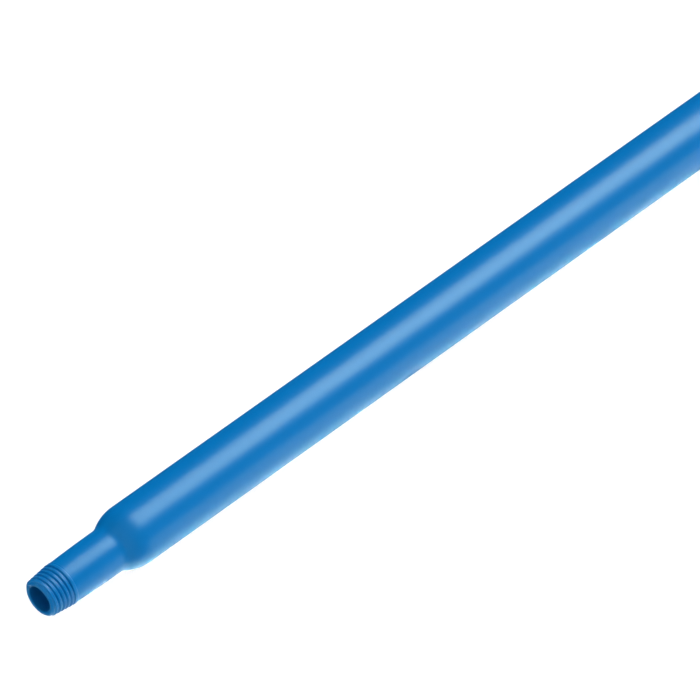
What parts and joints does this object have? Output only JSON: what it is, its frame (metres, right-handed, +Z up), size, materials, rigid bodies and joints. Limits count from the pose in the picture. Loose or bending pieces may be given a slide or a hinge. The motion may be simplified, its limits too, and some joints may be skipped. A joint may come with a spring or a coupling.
{
  "type": "boat hook",
  "caption": "Hollow round plastic boat hook pole with a threaded nose at each end; a curved hook head with a blunt bumper screws on one of them.",
  "frame": {"origin": "centre of the bare nose's end face, which is the end without the hook", "axes": "+X along the pole's axis from the bare nose to the hook, +Z up; the pole lies on a deck 17 mm below its axis and the hook lies to the -Y side with its ball tip on that deck"},
  "size_m": [1.42, 0.097, 0.034],
  "materials": {
    "blue_plastic": "satin",
    "dark_plastic": "matte",
    "rubber": "matte",
    "foam": "matte"
  },
  "bodies": {
    "pole": {"pole_tube": "blue_plastic", "butt_nose": "blue_plastic", "head_nose": "blue_plastic", "float_core": "foam", "butt_stopper": "dark_plastic", "butt_stopper_ring": "rubber", "head_stopper": "dark_plastic", "head_stopper_ring": "rubber"},
    "washer": {"head_washer": "rubber"},
    "head": {"hook_head": "blue_plastic", "bumper": "rubber"}
  },
  "joints": [
    {"name": "head_travel", "type": "slide", "parent": "pole", "child": "washer", "axis": [1, 0, 0], "range_m": [0, 0.0138]},
    {"name": "head_screw", "type": "hinge", "parent": "washer", "child": "head", "pos_m": [1.3, 0, 0], "axis": [1, 0, 0], "range_deg": [0, 1980]}
  ],
  "couplings": [
    {"joint": "head_travel", "follows": "head_screw", "m_per_rad": 0.00039789}
  ]
}
